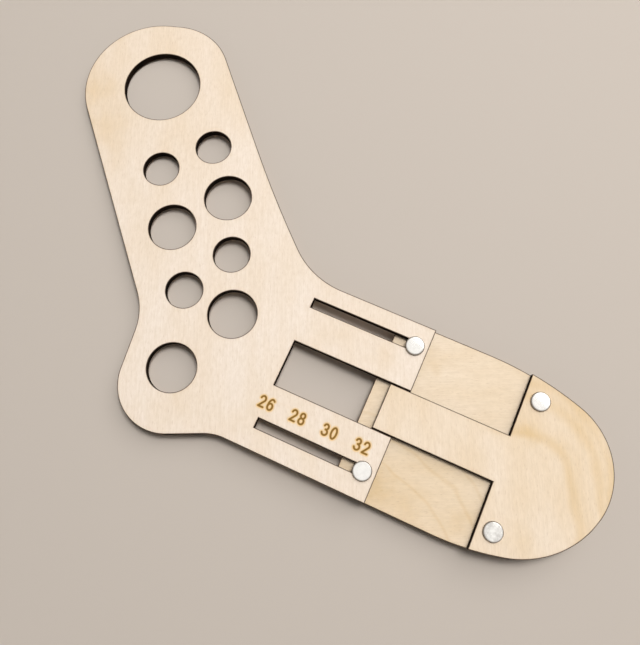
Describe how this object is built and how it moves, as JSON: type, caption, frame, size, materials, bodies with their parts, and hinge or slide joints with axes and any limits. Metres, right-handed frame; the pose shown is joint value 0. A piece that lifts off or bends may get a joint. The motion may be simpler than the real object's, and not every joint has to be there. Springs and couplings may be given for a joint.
{
  "type": "sock stretcher",
  "caption": "Flat adjustable foot-and-leg form of thin plywood that holds a knitted sock in shape, with vent holes, a hanging hole and a riveted sliding toe.",
  "frame": {"origin": "centre of the hanging hole, on the leg plate's underside", "axes": "+X along the foot towards the toe, +Y from the sole to the instep, +Z out of the face with the sizes"},
  "size_m": [0.2687, 0.1694, 0.0086],
  "materials": {
    "pale_plywood": "sanded, unvarnished, with scorched cut edges",
    "warm_plywood": "sanded, unvarnished, with scorched cut edges",
    "nickel_sheet": "bright nickel plate"
  },
  "bodies": {
    "leg": {"leg_plate": "pale_plywood"},
    "toe": {"toe_plate": "warm_plywood", "slide_plate": "warm_plywood", "instep_slot_rivet_front_cap": "nickel_sheet", "instep_slot_rivet_post": "nickel_sheet", "instep_slot_rivet_socket": "nickel_sheet", "instep_slot_rivet_back_cap": "nickel_sheet", "instep_toe_rivet_front_cap": "nickel_sheet", "instep_toe_rivet_post": "nickel_sheet", "instep_toe_rivet_socket": "nickel_sheet", "instep_toe_rivet_back_cap": "nickel_sheet", "sole_slot_rivet_front_cap": "nickel_sheet", "sole_slot_rivet_post": "nickel_sheet", "sole_slot_rivet_socket": "nickel_sheet", "sole_slot_rivet_back_cap": "nickel_sheet", "sole_toe_rivet_front_cap": "nickel_sheet", "sole_toe_rivet_post": "nickel_sheet", "sole_toe_rivet_socket": "nickel_sheet", "sole_toe_rivet_back_cap": "nickel_sheet"}
  },
  "joints": [
    {"name": "toe_slide", "type": "slide", "parent": "leg", "child": "toe", "axis": [1, 0, 0], "range_m": [-0.04, 0]}
  ]
}
